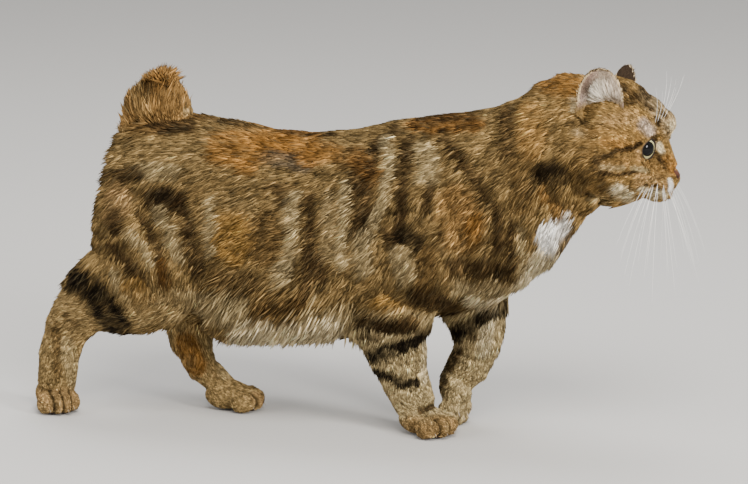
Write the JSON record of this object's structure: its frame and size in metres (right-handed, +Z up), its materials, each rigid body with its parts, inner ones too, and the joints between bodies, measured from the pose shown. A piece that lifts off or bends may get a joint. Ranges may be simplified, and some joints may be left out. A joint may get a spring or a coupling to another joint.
{
  "type": "manx cat",
  "caption": "Life-size still model of a walking manx cat with a stub tail and a patched tabby coat, standing on its paws.",
  "frame": {"origin": "middle of the cat's length and width, on the floor under it", "axes": "+X towards the cat's head, +Y to its left, +Z up"},
  "size_m": [0.5299, 0.1497, 0.3026],
  "materials": {
    "tabby_coat": "dense double coat of short fur, beige and grey with dark brown stripes and orange patches",
    "paw_coat": "very short fur",
    "ear_skin": "fine short fur over thin skin",
    "eye_glass": "wet gloss",
    "nose_leather": "fine grain, slightly moist",
    "claw_horn": "smooth horn",
    "whisker": "smooth stiff hair"
  },
  "bodies": {
    "root": {"torso": "tabby_coat", "neck": "tabby_coat", "head": "tabby_coat", "tail": "tabby_coat", "ear_left": "ear_skin", "ear_right": "ear_skin", "eye_left": "eye_glass", "eye_right": "eye_glass", "thigh_left": "tabby_coat", "thigh_right": "tabby_coat", "hind_leg_left": "tabby_coat", "hind_leg_right": "tabby_coat", "hind_paw_left": "paw_coat", "hind_paw_right": "paw_coat", "fore_leg_left": "tabby_coat", "fore_leg_right": "tabby_coat", "fore_paw_left": "paw_coat", "fore_paw_right": "paw_coat"}
  },
  "joints": []
}
